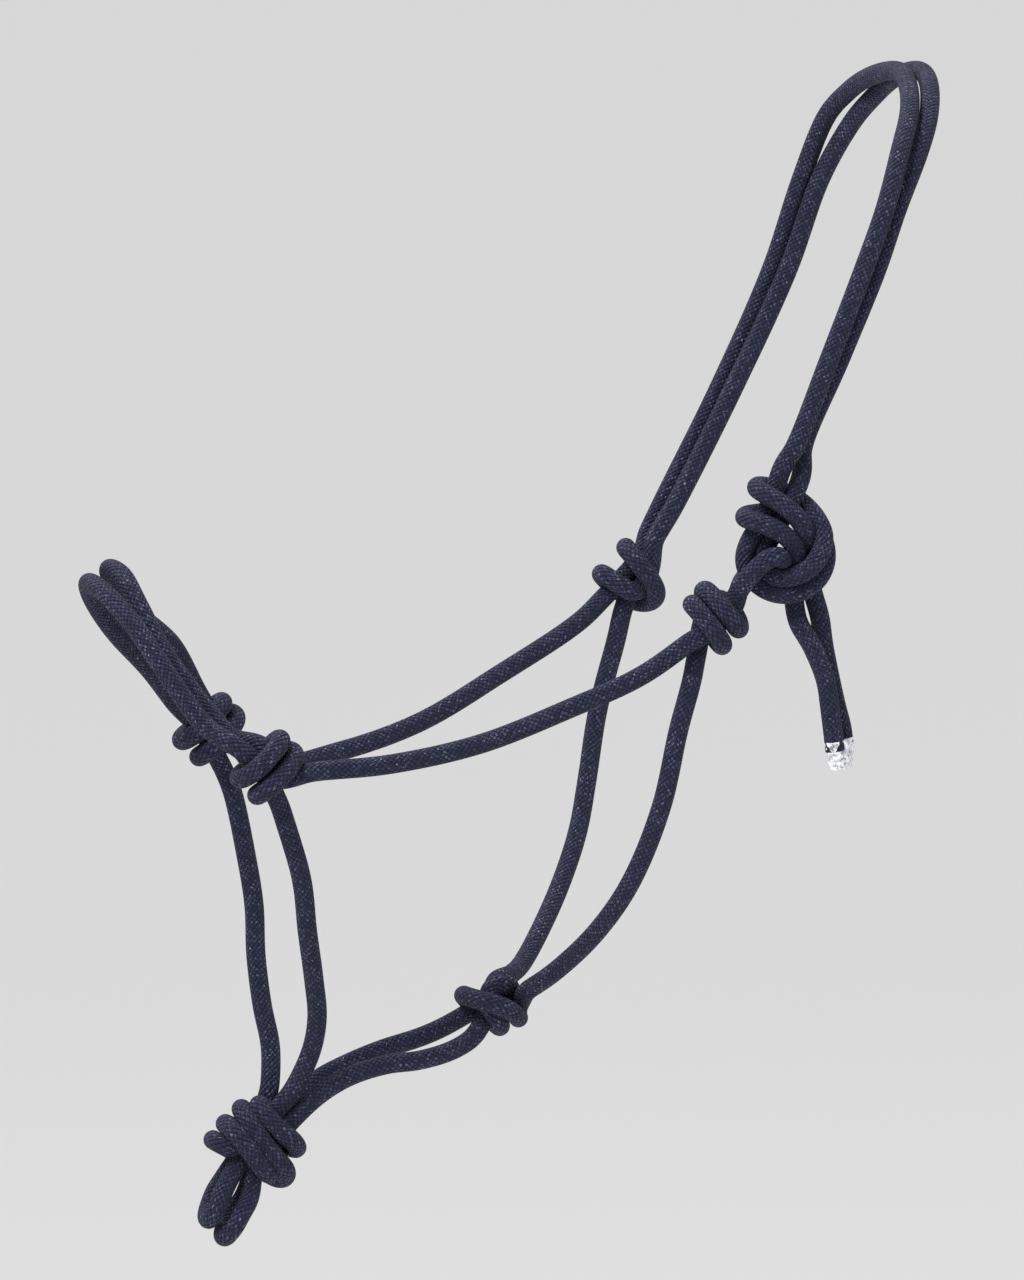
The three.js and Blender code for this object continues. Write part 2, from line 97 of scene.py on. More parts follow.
CHEEK_RIGHT_TURNS = [
    (-0.0145, -0.0062, -0.0015), (-0.01, -0.0045, -0.0025), (-0.005, -0.003, -0.003),
    (0.002, -0.0035, -0.0045), (0.008, -0.002, -0.006), (0.009, 0.004, -0.008), (0.008, 0.01, -0.004),
    (0.0068, 0.013, 0.002), (0.0055, 0.0095, 0.008), (0.0045, 0.0039, 0.0105), (0.0035, -0.0035, 0.01),
    (0.0005, -0.01, 0.0065), (-0.004, -0.013, 0.001), (-0.007, -0.009, -0.0055),
    (-0.0085, -0.001, -0.0085), (-0.009, 0.008, -0.007), (-0.009, 0.0138, -0.0005),
    (-0.0085, 0.012, 0.0065), (-0.0078, 0.005, 0.0095), (-0.0065, -0.002, 0.0075),
    (-0.0035, -0.006, 0.003), (0.002, -0.006, 0.0015), (0.0075, -0.0015, 0.0015),
    (0.0135, 0.0035, 0.0015),
]
CHEEK_RIGHT_CORE = [
    (-0.0145, 0.0045, 0.0005), (-0.008, 0.0035, -0.0015), (-0.001, 0.002, -0.0025),
    (0.006, 0.003, -0.0045), (0.0135, 0.0055, -0.0075),
]
THROAT_TURNS = [
    (-0.013, 0.0045, -0.007), (-0.008, 0.0045, -0.005), (-0.002, 0.004, -0.004),
    (0.003, 0.003, -0.005), (0.007, -0.001, -0.005), (0.0085, -0.001, 0.001), (0.0088, 0.005, 0.0045),
    (0.0045, 0.0085, 0.0065), (-0.0015, 0.007, 0.0075), (-0.0048, 0.002, 0.007),
    (-0.005, -0.005, 0.0055), (-0.0062, -0.0105, 0.001), (-0.0055, -0.009, -0.006),
    (-0.0055, 0, -0.0095), (-0.0065, 0.008, -0.007), (-0.007, 0.0125, 0), (-0.0056, 0.0105, 0.007),
    (-0.0025, 0.006, 0.013), (0.0005, 0, 0.0145), (0.0025, -0.007, 0.011), (0.0037, -0.0124, 0.003),
    (0.004, -0.0105, -0.004), (0.006, -0.006, -0.004), (0.009, -0.0045, 0.001),
    (0.0125, -0.0043, 0.009),
]
THROAT_CORE = [
    (-0.015, -0.0025, 0.007), (-0.009, -0.002, 0.004), (-0.002, 0, 0.001), (0.005, 0.0015, -0.003),
    (0.011, 0.0015, -0.009),
]
CHIN_TURNS_FRONT = [
    (-0.017, 0.0005, 0.0055), (-0.012, 0.002, 0.005), (-0.005, 0.003, 0.0045), (0.002, 0.005, 0.002),
    (0.007, 0.008, -0.003), (0.009, 0.013, -0.006), (0.0085, 0.0175, 0), (0.0065, 0.014, 0.0075),
    (0.004, 0.005, 0.012), (0.002, -0.004, 0.0125), (0, -0.012, 0.009), (-0.002, -0.017, 0.002),
    (-0.003, -0.014, -0.006), (-0.005, -0.005, -0.012), (-0.008, 0.006, -0.012),
    (-0.0098, 0.0145, -0.006), (-0.01, 0.0175, 0.001), (-0.009, 0.0125, 0.008), (-0.006, 0.006, 0.009),
    (0, 0.0085, 0.005), (0.007, 0.0095, 0.004), (0.015, 0.008, 0.0065), (0.022, 0.006, 0.009),
]
CHIN_TURNS_REAR = [
    (-0.017, -0.0125, -0.0055), (-0.012, -0.009, -0.005), (-0.005, -0.0065, -0.0045),
    (0.003, -0.006, -0.0045), (0.011, -0.003, -0.0065), (0.0145, 0.004, -0.005), (0.014, 0.01, 0.0015),
    (0.013, 0.0075, 0.0085), (0.013, 0, 0.012), (0.013, -0.008, 0.0105), (0.012, -0.0145, 0.004),
    (0.0105, -0.0135, -0.004), (0.007, -0.007, -0.011), (0.003, 0.003, -0.013),
    (-0.0005, 0.0125, -0.0085), (-0.0012, 0.018, -0.0005), (-0.0015, 0.015, 0.008),
    (-0.0025, 0.008, 0.013), (-0.0038, -0.001, 0.0135), (-0.0045, -0.009, 0.0095),
    (-0.004, -0.013, 0.003), (0, -0.0115, -0.003), (0.005, -0.007, -0.008), (0.011, 0.001, -0.01),
    (0.016, 0.006, -0.01), (0.02, 0.008, -0.0095),
]
CHIN_CORE_FRONT = [
    (-0.017, 0, -0.005), (-0.012, 0.0015, -0.0045), (-0.004, 0.002, -0.0045), (0.004, 0.001, -0.005),
    (0.013, -0.0005, -0.007), (0.0205, -0.001, -0.008),
]
CHIN_CORE_REAR = [
    (-0.017, -0.0125, 0.005), (-0.012, -0.009, 0.005), (-0.004, -0.0055, 0.0045),
    (0.004, -0.004, 0.005), (0.012, -0.003, 0.0065), (0.019, -0.0025, 0.0075),
]
LEAD_LOOP_FRONT = [
    (-0.025, -0.0015, 0.0075), (-0.031, -0.0038, 0.008), (-0.0355, -0.0053, 0.005),
    (-0.037, -0.006, 0), (-0.0355, -0.0053, -0.005), (-0.031, -0.0038, -0.008),
    (-0.025, -0.0015, -0.0075),
]
LEAD_LOOP_REAR = [
    (-0.025, -0.0135, 0.0075), (-0.0315, -0.015, 0.008), (-0.0365, -0.016, 0.005),
    (-0.038, -0.0165, 0), (-0.0365, -0.016, -0.005), (-0.0315, -0.015, -0.008),
    (-0.025, -0.0135, -0.0075),
]

# Routes of the strands between the knots
CHEEK_ROUTE_LEFT = [
    (-0.2756, -0.064, -0.2889), (-0.2459, -0.0695, -0.286), (-0.2077, -0.076, -0.2774),
    (-0.1695, -0.083, -0.262), (-0.1395, -0.088, -0.2482),
]
CHEEK_ROUTE_RIGHT = [
    (-0.279, 0.061, -0.301), (-0.2416, 0.065, -0.2955), (-0.2046, 0.071, -0.2842),
    (-0.1672, 0.079, -0.2647), (-0.1298, 0.086, -0.2428),
]
THROAT_ROUTE_LEFT = [
    (-0.1168, -0.088, -0.2501), (-0.1227, -0.088, -0.2718), (-0.129, -0.083, -0.305),
    (-0.139, -0.068, -0.3391), (-0.1502, -0.05, -0.3628), (-0.164, -0.027, -0.383),
]
THROAT_ROUTE_RIGHT = [
    (-0.1121, 0.0915, -0.251), (-0.1208, 0.0905, -0.283), (-0.1266, 0.086, -0.3133),
    (-0.1323, 0.078, -0.3345), (-0.1424, 0.064, -0.3547), (-0.1567, 0.043, -0.3742),
    (-0.1693, 0.024, -0.3869),
]
DROP_ROUTE_LEFT = [
    (-0.2899, -0.058, -0.311), (-0.281, -0.05, -0.3377), (-0.277, -0.042, -0.361),
    (-0.2722, -0.032, -0.3837), (-0.2693, -0.024, -0.4023), (-0.2715, -0.016, -0.42),
]
DROP_ROUTE_RIGHT = [
    (-0.2908, 0.06, -0.311), (-0.2857, 0.054, -0.339), (-0.2837, 0.046, -0.3601),
    (-0.2846, 0.037, -0.381), (-0.2836, 0.028, -0.4019), (-0.2816, 0.019, -0.42),
]
JAW_ROUTE_LEFT = [
    (-0.266, -0.0105, -0.437), (-0.253, -0.0125, -0.429), (-0.237, -0.014, -0.424),
    (-0.2217, -0.014, -0.4224), (-0.206, -0.011, -0.4185),
]
JAW_ROUTE_RIGHT = [
    (-0.263, 0.01, -0.4333), (-0.251, 0.012, -0.4275), (-0.2341, 0.013, -0.4211),
    (-0.2163, 0.013, -0.4159), (-0.206, 0.011, -0.4113),
]
NOSE_ROUTE_LOWER = [
    (-0.324, -0.056, -0.2695), (-0.3421, -0.046, -0.243), (-0.3526, -0.035, -0.2259),
    (-0.3615, -0.019, -0.2145), (-0.3652, 0, -0.212), (-0.3605, 0.015, -0.221),
    (-0.3485, 0.029, -0.2368), (-0.3304, 0.043, -0.2553),
]
NOSE_ROUTE_UPPER = [
    (-0.3224, -0.0455, -0.2625), (-0.3391, -0.036, -0.2386), (-0.348, -0.025, -0.2191),
    (-0.3525, -0.013, -0.208), (-0.356, 0, -0.206), (-0.352, 0.013, -0.2135), (-0.3395, 0.026, -0.228),
    (-0.3205, 0.0425, -0.2445),
]
CROWN_ROUTE_FRONT = [
    (-0.0748, -0.1, -0.1503), (-0.0595, -0.1015, -0.1115), (-0.0443, -0.101, -0.073),
    (-0.034, -0.097, -0.0475), (-0.024, -0.083, -0.023), (-0.0158, -0.0635, -0.009),
    (-0.0097, -0.035, 0.0005), (-0.0062, 0, 0.0045), (-0.0092, 0.04, -0.0005),
    (-0.0136, 0.0665, -0.0093), (-0.02, 0.082, -0.0215), (-0.0285, 0.0945, -0.05),
    (-0.0404, 0.102, -0.0906), (-0.0643, 0.102, -0.1434), (-0.0907, 0.0985, -0.1935),
]
CROWN_ROUTE_REAR = [
    (-0.0692, -0.092, -0.1512), (-0.053, -0.094, -0.112), (-0.037, -0.094, -0.0738),
    (-0.0271, -0.0895, -0.0485), (-0.0142, -0.075, -0.025), (-0.0062, -0.0585, -0.0115),
    (-0.0003, -0.035, 0), (0.0032, 0, 0.0045), (0.0003, 0.036, -0.0012), (-0.0045, 0.058, -0.0115),
    (-0.0108, 0.0725, -0.0238), (-0.0215, 0.088, -0.05), (-0.0345, 0.0945, -0.0901),
    (-0.0595, 0.0938, -0.1428), (-0.086, 0.0905, -0.1925),
]
TAIL_ROUTE_LEFT = [
    (-0.0663, -0.1005, -0.236), (-0.061, -0.1025, -0.25), (-0.059, -0.102, -0.262),
    (-0.0576, -0.1015, -0.272), (-0.0565, -0.1015, -0.281),
]
TAIL_ROUTE_RIGHT = [
    (-0.0595, -0.0915, -0.236), (-0.057, -0.093, -0.25), (-0.0543, -0.093, -0.262),
    (-0.0517, -0.093, -0.272), (-0.0506, -0.093, -0.281),
]

# Tie knot, from its own centre: x and z as in the part, y out to the horse's left
HITCH_FRONT = [
    (-0.001, 0.002, 0.034), (-0.003, 0, 0.024), (-0.006, -0.001, 0.014), (-0.012, -0.002, 0.004),
    (-0.017, -0.002, -0.004), (-0.015, -0.003, -0.013), (-0.008, 0, -0.019), (0.002, 0.002, -0.0215),
    (0.013, 0.002, -0.0175), (0.0195, 0, -0.008), (0.019, -0.004, 0.003), (0.013, -0.009, 0.011),
    (0.003, -0.012, 0.014), (-0.010, -0.009, 0.013), (-0.018, 0, 0.0125), (-0.015, 0.007, 0.012),
    (-0.007, 0.010, 0.0095), (0.002, 0.008, 0.003), (0.006, 0.002, -0.005), (0.006, -0.004, -0.014),
    (0.007, -0.007, -0.023), (0.007, -0.006, -0.031),
]
HITCH_REAR = [
    (0.0095, -0.001, 0.031), (0.005, 0, 0.022), (0, -0.001, 0.013), (-0.006, -0.001, 0.004),
    (-0.009, -0.002, -0.004), (-0.007, 0, -0.011), (0.001, 0.005, -0.0135), (0.010, 0.009, -0.010),
    (0.016, 0.009, -0.001), (0.0165, 0.004, 0.008), (0.012, -0.003, 0.016), (0.005, -0.008, 0.0215),
    (-0.005, -0.008, 0.025), (-0.013, -0.001, 0.026), (-0.009, 0.007, 0.023), (0, 0.010, 0.018),
    (0.007, 0.009, 0.010), (0.010, 0.004, 0.003), (0.011, -0.002, -0.006), (0.013, -0.006, -0.017),
    (0.017, -0.005, -0.028),
]
EYE_BIGHT = [
    (-0.019, -0.001, -0.0185), (-0.0155, 0.004, -0.013), (-0.009, 0.009, -0.0045),
    (-0.002, 0.009, -0.0015), (0.0025, 0.004, -0.006), (0, -0.004, -0.009), (-0.006, -0.008, -0.009),
    (-0.0135, -0.009, -0.012), (-0.017, -0.0112, -0.0185),
]

# Drawing the knots tight
SAMPLES_PER_SPAN = 12
LINK = 0.0025
NEIGHBOUR_REACH = 1.5 * ROPE_D
CONTACT_D = 0.84 * ROPE_D
TIGHTENING_STEPS = 160
PAIR_REFRESH = 10
SPRINGINESS = 0.02
STIFFNESS = 0.1
PUSH = 0.45
CROWDING = 0.35
LEAST_SHARE = 1e-9
HOLD_NEAR_KNOT = 0.006
LINE_SMOOTHINGS = 3

# Swept tube
TUBE_SIDES = 40
RING_STEP = 0.0008
FLAT_REACH = 1.15 * ROPE_D
LEAST_FACING = 0.05
FLAT_GAP = 0.00006
NO_LIMIT = 1.0
LEAST_RADIUS = 0.45 * ROPE_R
MOST_RADIUS = ROPE_R * 1.06
BULGE = 0.5
RADII_SMOOTHINGS = 2
CUT_INSIDE = 0.004


# ---------------------------------------------------------------- camera, light and floor

CAMERA_AZIMUTH = 348.4
CAMERA_ELEVATION = 6.2
CAMERA_DISTANCE = 8.0
CAMERA_LENS = 517
CAMERA_TARGET = (-0.178, 0, -0.241)


def direction_from(azimuth, elevation):
    """Unit vector from the object out to a viewer there; azimuth 0 looks along +Y."""
    a, e = math.radians(azimuth), math.radians(elevation)
    return Vector((math.sin(a) * math.cos(e), -math.cos(a) * math.cos(e), math.sin(e)))


def add_camera():
    data = bpy.data.cameras.new("camera")
    data.lens = CAMERA_LENS
    camera = bpy.data.objects.new("camera", data)
    bpy.context.scene.collection.objects.link(camera)
    away = direction_from(CAMERA_AZIMUTH, CAMERA_ELEVATION)
    camera.location = Vector(CAMERA_TARGET) + away * CAMERA_DISTANCE
    camera.rotation_mode = "QUATERNION"
    camera.rotation_quaternion = (-away).to_track_quat("-Z", "Y")
    bpy.context.scene.camera = camera


add_camera()


# ---------------------------------------------------------------- the rope's line

def vec(*xyz):
    return np.array(xyz, float)


def unit(v):
    v = np.asarray(v, float)
    return v / np.linalg.norm(v)


def knot_line(knot, points):
    """A knot's run in the halter's own frame."""
    axis = unit(knot["axis"])
    across = vec(-axis[2], 0, axis[0])
    out = vec(0, -1, 0)
    return [vec(*knot["centre"]) + axis * a + across * c + out * o for a, c, o in points]


def tie_line(points):
    x, y, z = TIE_KNOT_CENTRE
    return [vec(x + px, y - left, z + pz) for px, left, pz in points]


def whole_rope():
    """The one rope as (name, control points) runs, in the order it passes through the halter."""
    nose_right = NOSE_IN_RIGHT + NOSE_TURNS + NOSE_OUT_RIGHT
    nose_left = NOSE_IN_LEFT + NOSE_TURNS + NOSE_OUT_LEFT
    return [
        ("tail_strand_left", TAIL_ROUTE_LEFT[::-1]),
        ("hitch_front", tie_line(HITCH_FRONT)[::-1]),
        ("crown_strand_front", CROWN_ROUTE_FRONT),
        ("cheek_knot_right_core", knot_line(CHEEK_KNOT_RIGHT, CHEEK_RIGHT_CORE)[::-1]),
        ("cheek_strand_right", CHEEK_ROUTE_RIGHT[::-1]),
        ("nose_knot_right_turns", knot_line(NOSE_KNOT_RIGHT, nose_right)[::-1]),
        ("nose_strand_upper", NOSE_ROUTE_UPPER[::-1]),
        ("nose_knot_left_turns", knot_line(NOSE_KNOT_LEFT, nose_left)),
        ("cheek_strand_left", CHEEK_ROUTE_LEFT),
        ("cheek_knot_left_core", knot_line(CHEEK_KNOT_LEFT, CHEEK_LEFT_CORE)),
        ("eye_loop", tie_line(EYE_BIGHT)),
        ("cheek_knot_left_turns", knot_line(CHEEK_KNOT_LEFT, CHEEK_LEFT_TURNS)[::-1]),
        ("throat_strand_left", THROAT_ROUTE_LEFT),
        ("throat_knot_turns", knot_line(THROAT_KNOT, THROAT_TURNS)[::-1]),
        ("jaw_strand_right", JAW_ROUTE_RIGHT[::-1]),
        ("chin_knot_core_right", knot_line(CHIN_KNOT, CHIN_CORE_FRONT)[::-1]),
        ("lead_loop_front", knot_line(CHIN_KNOT, LEAD_LOOP_FRONT)[::-1]),
        ("chin_knot_turns_front", knot_line(CHIN_KNOT, CHIN_TURNS_FRONT)),
        ("drop_strand_left", DROP_ROUTE_LEFT[::-1]),
        ("nose_knot_left_core", knot_line(NOSE_KNOT_LEFT, NOSE_CORE)[::-1]),
        ("nose_strand_lower", NOSE_ROUTE_LOWER),
        ("nose_knot_right_core", knot_line(NOSE_KNOT_RIGHT, NOSE_CORE)),
        ("drop_strand_right", DROP_ROUTE_RIGHT),
        ("chin_knot_turns_rear", knot_line(CHIN_KNOT, CHIN_TURNS_REAR)[::-1]),
        ("lead_loop_rear", knot_line(CHIN_KNOT, LEAD_LOOP_REAR)[::-1]),
        ("chin_knot_core_left", knot_line(CHIN_KNOT, CHIN_CORE_REAR)),
        ("jaw_strand_left", JAW_ROUTE_LEFT),
        ("throat_knot_core", knot_line(THROAT_KNOT, THROAT_CORE)),
        ("throat_strand_right", THROAT_ROUTE_RIGHT[::-1]),
        ("cheek_knot_right_turns", knot_line(CHEEK_KNOT_RIGHT, CHEEK_RIGHT_TURNS)),
        ("crown_strand_rear", CROWN_ROUTE_REAR[::-1]),
        ("hitch_rear", tie_line(HITCH_REAR)),
        ("tail_strand_right", TAIL_ROUTE_RIGHT),
    ]


def catmull_rom(points, per_span):
    """Centripetal Catmull-Rom line through the points; also each sample's place in the point list."""
    p = np.asarray(points, float)
    p = np.vstack([2 * p[0] - p[1], p, 2 * p[-1] - p[-2]])
    line, place = [], []
    u = np.linspace(0, 1, per_span, endpoint=False)[:, None]
    for i in range(1, len(p) - 2):
        p0, p1, p2, p3 = p[i - 1], p[i], p[i + 1], p[i + 2]
        t1 = np.sqrt(np.linalg.norm(p1 - p0))
        t2 = t1 + np.sqrt(np.linalg.norm(p2 - p1))
        t3 = t2 + np.sqrt(np.linalg.norm(p3 - p2))
        t = t1 + (t2 - t1) * u
        a1 = ((t1 - t) * p0 + t * p1) / t1
        a2 = ((t2 - t) * p1 + (t - t1) * p2) / (t2 - t1)
        a3 = ((t3 - t) * p2 + (t - t2) * p3) / (t3 - t2)
        b1 = ((t2 - t) * a1 + t * a2) / t2
        b2 = ((t3 - t) * a2 + (t - t1) * a3) / (t3 - t1)
        line.append(((t2 - t) * b1 + (t - t1) * b2) / (t2 - t1))
        place.append(i - 1 + u[:, 0])
    return np.vstack([*line, p[-2]]), np.append(np.concatenate(place), len(p) - 3)


def arc_length(line):
    return np.concatenate([[0], np.cumsum(np.linalg.norm(np.diff(line, axis=0), axis=1))])


def resample(line, step, *values):
    """The line at even steps, and any per-point values with it."""
    s = arc_length(line)
    even = np.linspace(0, s[-1], max(2, round(s[-1] / step)) + 1)
    moved = np.stack([np.interp(even, s, line[:, k]) for k in range(3)], axis=1)
    return (moved, *(np.interp(even, s, v) for v in values))


def point_tree(line):
    tree = kdtree.KDTree(len(line))
    for i, p in enumerate(line):
        tree.insert(p, i)
    tree.balance()
    return tree


def contact_pairs(line, skip):
    """Pairs of points close enough to touch that aren't neighbours along the rope."""
    tree = point_tree(line)
    pairs = []
    for i, p in enumerate(line):
        pairs += [(i, j) for _, j, _ in tree.find_range(p, NEIGHBOUR_REACH) if j > i + skip]
    return np.array(pairs, int).reshape(-1, 2)


def draw_tight(line, freedom):
    """Springs the free stretches straight and pushes touching stretches apart, until the knots settle."""
    skip = round(NEIGHBOUR_REACH / LINK)
    for step in range(TIGHTENING_STEPS):
        if step % PAIR_REFRESH == 0:
            pairs = contact_pairs(line, skip)
        pull = np.zeros_like(line)
        pull[1:-1] = (line[:-2] + line[2:]) / 2 - line[1:-1]
        bend = np.zeros_like(line)
        bend[1:-1] = pull[1:-1] - (pull[:-2] + pull[2:]) / 2
        line = line + (SPRINGINESS * pull + STIFFNESS * bend) * freedom[:, None]
        i, j = pairs[:, 0], pairs[:, 1]
        gap = line[j] - line[i]
        distance = np.linalg.norm(gap, axis=1)
        close = distance < CONTACT_D
        i, j, gap, distance = i[close], j[close], gap[close], distance[close]
        share = freedom[i] + freedom[j] + LEAST_SHARE
        push = gap / distance[:, None] * ((CONTACT_D - distance) * PUSH / share)[:, None]
        move, count = np.zeros_like(line), np.ones(len(line))
        np.add.at(move, i, -push * freedom[i][:, None])
        np.add.at(move, j, push * freedom[j][:, None])
        np.add.at(count, i, CROWDING)
        np.add.at(count, j, CROWDING)
        line = line + move / count[:, None]
    return line


runs = whole_rope()
control = [vec(*p) for _, points in runs for p in points]
run_starts = np.cumsum([0] + [len(points) for _, points in runs])
line, place = catmull_rom(control, SAMPLES_PER_SPAN)
line, place = resample(line, LINK, place)


def in_a_knot(name):
    return "knot" in name or "hitch" in name or name == "eye_loop"


def freedom_along(line, place):
    """1 where the rope may move as the knots draw tight, falling to 0 a little way along each strand."""
    s = arc_length(line)
    free = np.zeros(len(line))
    for k, (name, _) in enumerate(runs):
        if in_a_knot(name):
            inside = (place >= run_starts[k]) & (place <= run_starts[k + 1] - 1)
            lo, hi = s[inside][0], s[inside][-1]
            away = np.maximum(np.maximum(lo - s, s - hi), 0)
            free = np.maximum(free, np.clip(1 - away / HOLD_NEAR_KNOT, 0, 1))
    return free


line = draw_tight(line, freedom_along(line, place))
line, place = resample(line, RING_STEP, place)
for _ in range(LINE_SMOOTHINGS):
    line[1:-1] = (line[:-2] + 2 * line[1:-1] + line[2:]) / 4
along = arc_length(line)


# ---------------------------------------------------------------- the tube round the line

def ring_axes(line):
    """Two directions square to the rope at each ring, which turn as little as they can along it."""
    tangent = np.gradient(line, axis=0)
    tangent /= np.linalg.norm(tangent, axis=1)[:, None]
    side = np.zeros_like(line)
    side[0] = unit(np.cross(tangent[0], (0, 0, 1)))
    for i in range(1, len(line)):
        v = side[i - 1] - tangent[i] * (side[i - 1] @ tangent[i])
        side[i] = v / np.linalg.norm(v)
    return side, np.cross(tangent, side)


def pressed_radii(line, side, other):
    """Each ring's radii: round, and flat where another stretch of rope presses on it."""
    angle = 2 * np.pi * np.arange(TUBE_SIDES) / TUBE_SIDES
    cosine, sine = np.cos(angle)[None, :, None], np.sin(angle)[None, :, None]
    out = side[:, None, :] * cosine + other[:, None, :] * sine
    radii = np.full((len(line), TUBE_SIDES), ROPE_R)
    skip = round(NEIGHBOUR_REACH / RING_STEP)
    tree = point_tree(line)
    for i, p in enumerate(line):
        near = [j for _, j, _ in tree.find_range(p, FLAT_REACH) if abs(j - i) > skip]
        if not near:
            continue
        gap = line[near[::2]] - p
        distance = np.linalg.norm(gap, axis=1)
        facing = out[i] @ (gap / distance[:, None]).T
        half_way = distance / 2 / np.maximum(facing, LEAST_FACING)
        limit = np.where(facing > LEAST_FACING, half_way, NO_LIMIT)
        flat = limit.min(axis=1) - FLAT_GAP
        radii[i] = np.minimum(ROPE_R, np.maximum(flat, LEAST_RADIUS))
    spread = (radii.sum(axis=1) / TUBE_SIDES / ROPE_R)[:, None]
    return out, np.minimum(radii * (1 + BULGE * (1 - spread)), MOST_RADIUS)


side, other = ring_axes(line)
outward, radii = pressed_radii(line, side, other)
for _ in range(RADII_SMOOTHINGS):
    radii[1:-1] = (radii[:-2] + 2 * radii[1:-1] + radii[2:]) / 4
rings = line[:, None, :] + outward * radii[:, :, None]


def tube_piece(name, first, last):
    """A closed length of the rope from one ring to another, with the plait's coordinates in its UVs."""
    count = last - first + 1
    corners = rings[first:last + 1].reshape(-1, 3)
    ends = line[[first, last]]
    verts = np.vstack([corners, ends])
    i = np.arange(count - 1)[:, None] * TUBE_SIDES
    k = np.arange(TUBE_SIDES)[None, :]
    following = (k + 1) % TUBE_SIDES
    near, far = i + k, i + following
    quads = np.stack([near, far, TUBE_SIDES + far, TUBE_SIDES + near], axis=2).reshape(-1, 4)
    a, b = len(corners), len(corners) + 1
    base = (count - 1) * TUBE_SIDES
    caps = [(a, (n + 1) % TUBE_SIDES, n) for n in range(TUBE_SIDES)]
    caps += [(b, base + n, base + (n + 1) % TUBE_SIDES) for n in range(TUBE_SIDES)]
    mesh = bpy.data.meshes.new(name)
    mesh.from_pydata(verts.tolist(), [], quads.tolist() + caps)
    uv = mesh.uv_layers.new(name="plait")
    column = k + np.zeros_like(i)
    around = np.stack([column, column + 1, column + 1, column], axis=2).reshape(-1) / TUBE_SIDES
    s = along[first:last + 1]
    lengths = np.stack([s[:-1], s[:-1], s[1:], s[1:]], axis=1)
    lengths = np.repeat(lengths[:, None, :], TUBE_SIDES, axis=1).reshape(-1)
    data = np.zeros((len(quads) * 4 + len(caps) * 3, 2))
    data[:len(around), 0] = around
    data[:len(around), 1] = lengths
    uv.data.foreach_set("uv", data.ravel())
    mesh.validate()
    sharp = mesh.attributes.new("sharp_face", "BOOLEAN", "FACE")
    sharp.data.foreach_set("value", [False] * len(quads) + [True] * len(caps))
    mesh.update()
    piece = bpy.data.objects.new(name + "_braid", mesh)
    bpy.context.scene.collection.objects.link(piece)
    return piece


def piece_spans():
    """Each run's first and last ring; a strand's cut lies a little way inside the knot it enters."""
    shift = round(CUT_INSIDE / RING_STEP)
    edges = [0]
    for k in range(1, len(runs)):
        boundary = int(np.searchsorted(place, run_starts[k] - 0.5))
        before, after = in_a_knot(runs[k - 1][0]), in_a_knot(runs[k][0])
        if before and not after:
            boundary -= shift
        if after and not before:
            boundary += shift
        edges.append(boundary)
    edges.append(len(line) - 1)
    return {runs[k][0]: (edges[k], edges[k + 1]) for k in range(len(runs))}


spans = piece_spans()
pieces = {name: tube_piece(name, *span) for name, span in spans.items()}

BODIES = {
    "hitch_front": "crown", "hitch_rear": "crown",
    "cheek_knot_right_core": "cheeks", "cheek_knot_right_turns": "cheeks",
    "cheek_knot_left_core": "cheeks", "cheek_knot_left_turns": "cheeks",
    "nose_knot_right_turns": "cheeks", "nose_knot_right_core": "cheeks",
    "nose_knot_left_turns": "cheeks", "nose_knot_left_core": "cheeks",
    "cheek_strand_left": "cheeks", "cheek_strand_right": "cheeks",
    "throat_knot_turns": "throatlatch", "throat_knot_core": "throatlatch",
    "chin_knot_core_right": "drops", "chin_knot_core_left": "drops",
    "chin_knot_turns_front": "drops", "chin_knot_turns_rear": "drops",
}
# Where a strand bends beside a knot: the body before, the body after, and the start and end of the bend
EYE_BEND = ("crown", "cheeks", (-0.094, 0, -0.202), (-0.101, 0, -0.213))
CROWN_BEND = ("crown", "cheeks", (-0.087, 0, -0.183), (-0.097, 0, -0.206))
NOSE_BEND = ("cheeks", "noseband", (-0.309, 0, -0.277), (-0.337, 0, -0.247))
DROP_BEND = ("cheeks", "drops", (-0.294, 0, -0.296), (-0.288, 0, -0.335))
THROAT_BEND = ("cheeks", "throatlatch", (-0.112, 0, -0.236), (-0.121, 0, -0.275))
JAW_BEND = ("drops", "jaw", (-0.280, 0, -0.449), (-0.262, 0, -0.432))
LEAD_BEND = ("drops", "lead_loops", (-0.3015, 0, -0.4700), (-0.3110, 0, -0.4800))
TAIL_BEND = ("crown", "tail", (-0.069, 0, -0.221), (-0.065, 0, -0.238))
BENDS = {
    "eye_loop": EYE_BEND,
    "crown_strand_front": CROWN_BEND, "crown_strand_rear": CROWN_BEND,
    "nose_strand_upper": NOSE_BEND, "nose_strand_lower": NOSE_BEND,
    "drop_strand_left": DROP_BEND, "drop_strand_right": DROP_BEND,
    "throat_strand_left": THROAT_BEND, "throat_strand_right": THROAT_BEND,
    "jaw_strand_left": JAW_BEND, "jaw_strand_right": JAW_BEND,
    "lead_loop_front": LEAD_BEND, "lead_loop_rear": LEAD_BEND,
    "tail_strand_left": TAIL_BEND, "tail_strand_right": TAIL_BEND,
}
WHOLE_KNOTS = ("nose_knot", "cheek_knot", "throat_knot")
STANDS_FOR = {
    "hitch_front": "tie_knot", "hitch_rear": "tie_knot",
    **{name: name.rsplit("_", 1)[0] for name in pieces if name.startswith(WHOLE_KNOTS)},
    **{name: "chin_knot" for name in pieces if name.startswith("chin_knot")},
}
for name, piece in pieces.items():
    if name in BENDS:
        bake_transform(piece)
    else:
        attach(piece, BODIES[name])
    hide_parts(STANDS_FOR.get(name, name))


# ---------------------------------------------------------------- the whipped tip

